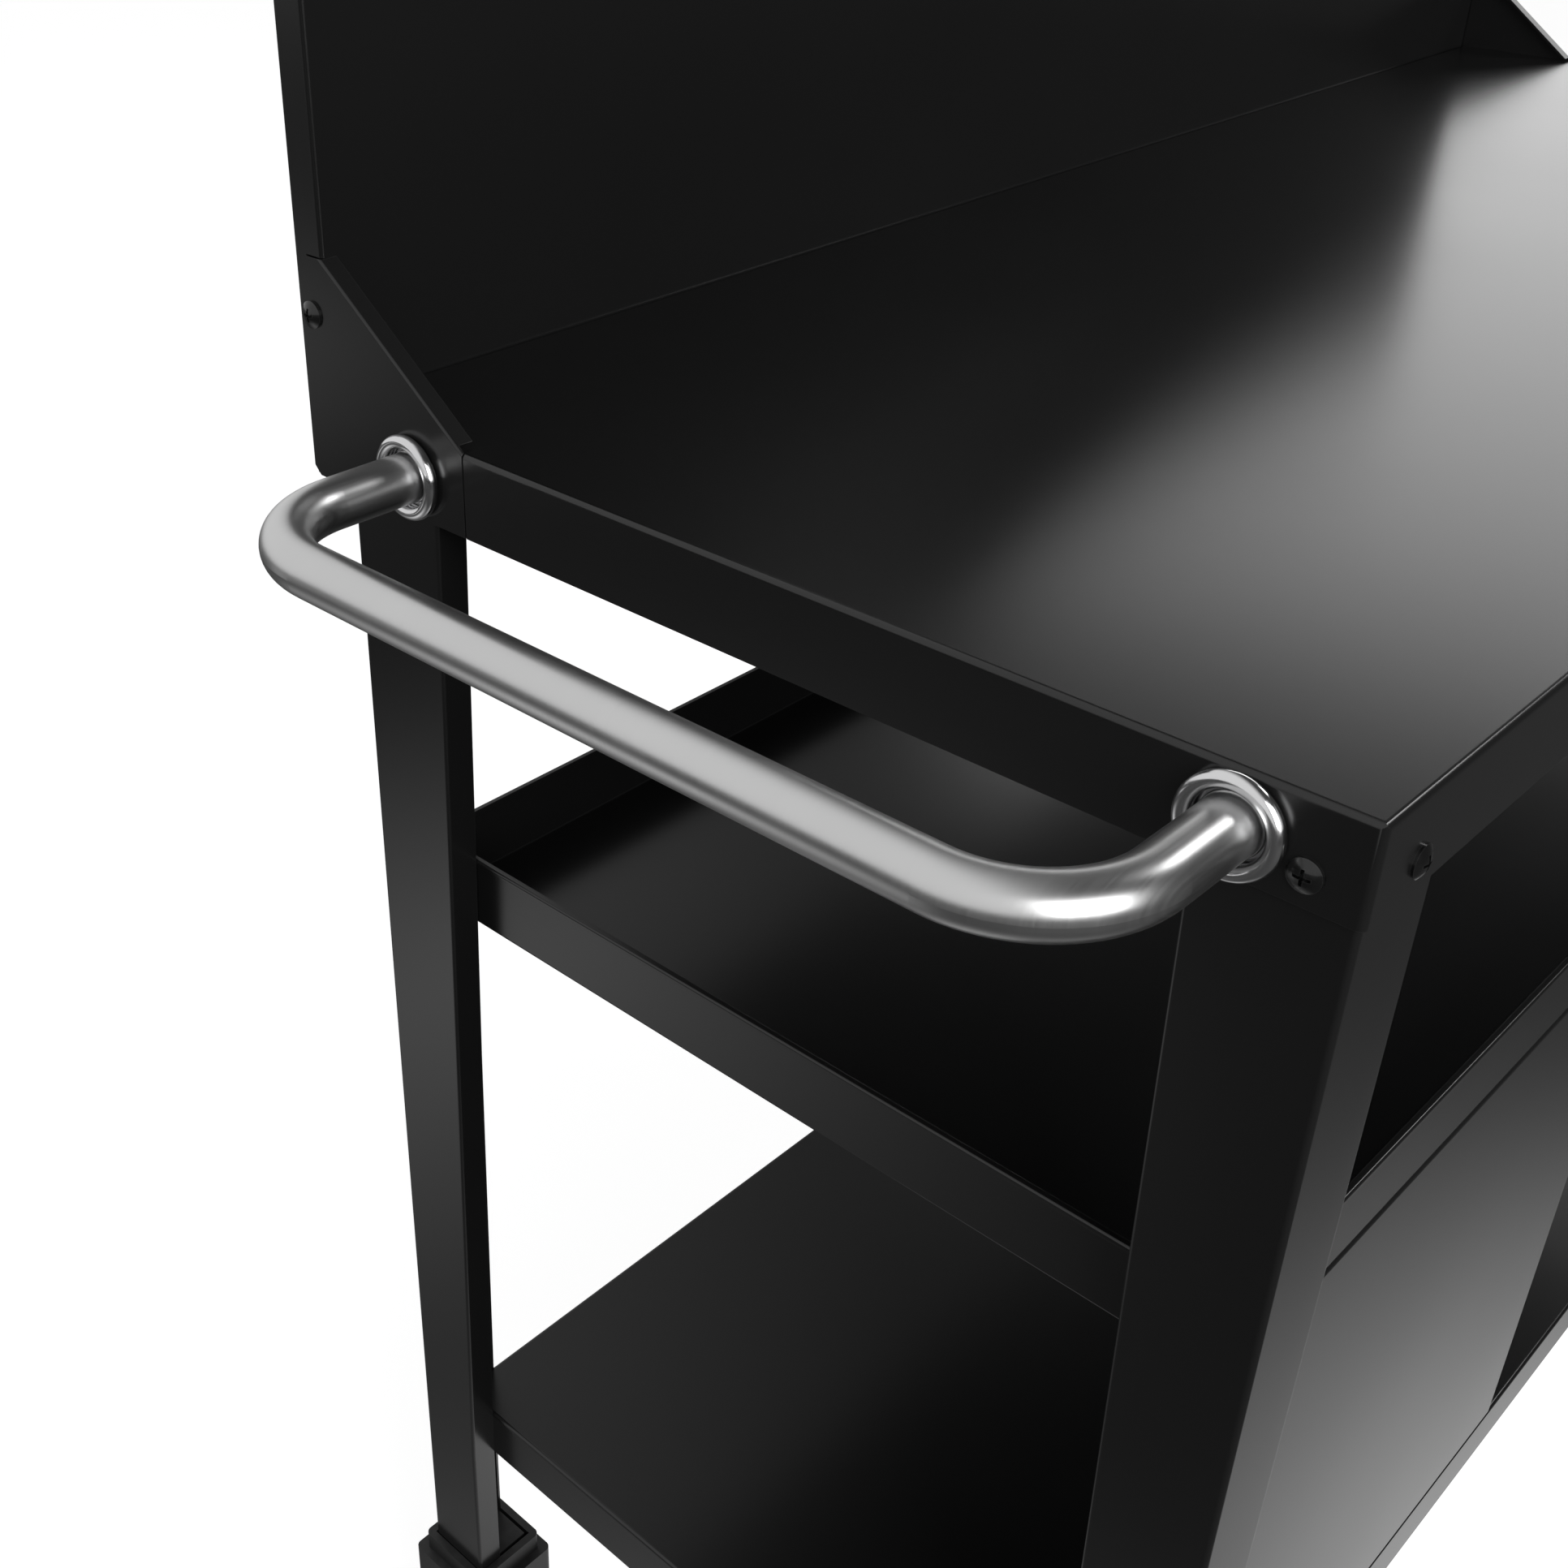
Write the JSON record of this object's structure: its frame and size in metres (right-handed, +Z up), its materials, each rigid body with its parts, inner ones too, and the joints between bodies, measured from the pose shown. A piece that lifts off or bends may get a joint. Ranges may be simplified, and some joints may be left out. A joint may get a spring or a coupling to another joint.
{
  "type": "kitchen island cart",
  "caption": "Folded sheet-steel kitchen island cart with a worktop, backsplash, open tray, lower shelf, part front panel, push handle at one end and swivel casters.",
  "frame": {"origin": "on the floor, under the middle of the cart's box, handle included", "axes": "+X along the worktop to the right, away from the handle; +Y from the front skirt to the backsplash; +Z up"},
  "size_m": [1.2194, 0.5084, 1.12],
  "materials": {
    "black_coat": "satin black powder coat with a very fine texture",
    "fork_coat": "black e-coat on pressed steel",
    "black_screw": "black oxide, slightly glossy",
    "chrome": "polished chrome",
    "satin_steel": "satin polished stainless tube",
    "zinc": "bright zinc plate",
    "moulded": "matt black moulded nylon",
    "hub": "moulded polypropylene wheel centre",
    "tyre": "soft black tread"
  },
  "bodies": {
    "cart": {"worktop": "black_coat", "stiffener_left": "black_coat", "stiffener_right": "black_coat", "rear_rail": "black_coat", "back_panel": "black_coat", "end_plate_left": "black_coat", "end_plate_right": "black_coat", "leg_front_left": "black_coat", "leg_front_right": "black_coat", "leg_rear_left": "black_coat", "leg_rear_right": "black_coat", "upper_tray": "black_coat", "lower_shelf": "black_coat", "shelf_stiffener": "black_coat", "front_panel": "black_coat", "handle_tube": "satin_steel", "escutcheon_front": "chrome", "escutcheon_rear": "chrome", "handle_inserts": "zinc", "handle_bolts": "zinc", "handle_washers": "zinc", "skirt_screws": "black_screw", "rear_screws": "black_screw", "gusset_screws": "black_screw", "frame_nuts": "zinc", "tray_brackets": "black_coat", "shelf_brackets": "black_coat", "tray_screws": "zinc", "shelf_screws": "zinc", "panel_screws": "zinc", "foot_front_left": "moulded", "foot_front_right": "moulded", "foot_rear_left": "moulded", "foot_rear_right": "moulded", "stem_front_left": "zinc", "stem_front_right": "zinc", "stem_rear_left": "zinc", "stem_rear_right": "zinc"},
    "caster_front_left": {"fork_front_left": "fork_coat", "axle_front_left": "zinc", "brake_pin_front_left": "zinc"},
    "wheel_front_left": {"hub_front_left": "hub", "tyre_front_left": "tyre"},
    "pedal_front_left": {"brake_front_left": "moulded"},
    "caster_front_right": {"fork_front_right": "fork_coat", "axle_front_right": "zinc", "brake_pin_front_right": "zinc"},
    "wheel_front_right": {"hub_front_right": "hub", "tyre_front_right": "tyre"},
    "pedal_front_right": {"brake_front_right": "moulded"},
    "caster_rear_left": {"fork_rear_left": "fork_coat", "axle_rear_left": "zinc"},
    "wheel_rear_left": {"hub_rear_left": "hub", "tyre_rear_left": "tyre"},
    "caster_rear_right": {"fork_rear_right": "fork_coat", "axle_rear_right": "zinc"},
    "wheel_rear_right": {"hub_rear_right": "hub", "tyre_rear_right": "tyre"}
  },
  "joints": [
    {"name": "swivel_front_left", "type": "hinge", "parent": "cart", "child": "caster_front_left", "pos_m": [-0.48925, -0.22325, 0.082], "axis": [0, 0, 1], "continuous": true},
    {"name": "roll_front_left", "type": "hinge", "parent": "caster_front_left", "child": "wheel_front_left", "pos_m": [-0.50925, -0.22325, 0.03], "axis": [0, 1, 0], "continuous": true},
    {"name": "brake_front_left", "type": "hinge", "parent": "caster_front_left", "child": "pedal_front_left", "pos_m": [-0.51925, -0.22325, 0.068], "axis": [0, -1, 0], "range_deg": [0, 16]},
    {"name": "swivel_front_right", "type": "hinge", "parent": "cart", "child": "caster_front_right", "pos_m": [0.57975, -0.22325, 0.082], "axis": [0, 0, 1], "continuous": true},
    {"name": "roll_front_right", "type": "hinge", "parent": "caster_front_right", "child": "wheel_front_right", "pos_m": [0.55975, -0.22325, 0.03], "axis": [0, 1, 0], "continuous": true},
    {"name": "brake_front_right", "type": "hinge", "parent": "caster_front_right", "child": "pedal_front_right", "pos_m": [0.54975, -0.22325, 0.068], "axis": [0, -1, 0], "range_deg": [0, 16]},
    {"name": "swivel_rear_left", "type": "hinge", "parent": "cart", "child": "caster_rear_left", "pos_m": [-0.48925, 0.20825, 0.082], "axis": [0, 0, 1], "continuous": true},
    {"name": "roll_rear_left", "type": "hinge", "parent": "caster_rear_left", "child": "wheel_rear_left", "pos_m": [-0.50925, 0.20825, 0.03], "axis": [0, 1, 0], "continuous": true},
    {"name": "swivel_rear_right", "type": "hinge", "parent": "cart", "child": "caster_rear_right", "pos_m": [0.57975, 0.20825, 0.082], "axis": [0, 0, 1], "continuous": true},
    {"name": "roll_rear_right", "type": "hinge", "parent": "caster_rear_right", "child": "wheel_rear_right", "pos_m": [0.55975, 0.20825, 0.03], "axis": [0, 1, 0], "continuous": true}
  ]
}
